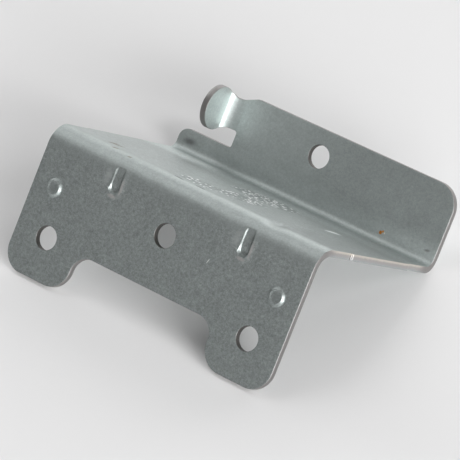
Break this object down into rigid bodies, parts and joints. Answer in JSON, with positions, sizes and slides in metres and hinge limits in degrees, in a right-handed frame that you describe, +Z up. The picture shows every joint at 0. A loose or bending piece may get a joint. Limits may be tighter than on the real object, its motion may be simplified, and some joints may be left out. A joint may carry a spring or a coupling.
{
  "type": "stamped metal bracket",
  "caption": "Folded sheet steel bracket with two footed fixing holes, pressed darts and pips, a rear flange with a hole, and a round hook ear on a neck.",
  "frame": {"origin": "on the table, under the middle of the bracket's bounding box as it lies at rest on its two feet and its rear bend", "axes": "+X along both bends, +Y from the front flange towards the rear flange, +Z up from the table"},
  "size_m": [0.0728, 0.0696, 0.0262],
  "materials": {
    "zinc_steel": "dull zinc-coated sheet steel, fine mottled grain"
  },
  "bodies": {
    "root": {"bracket": "zinc_steel"}
  },
  "joints": []
}
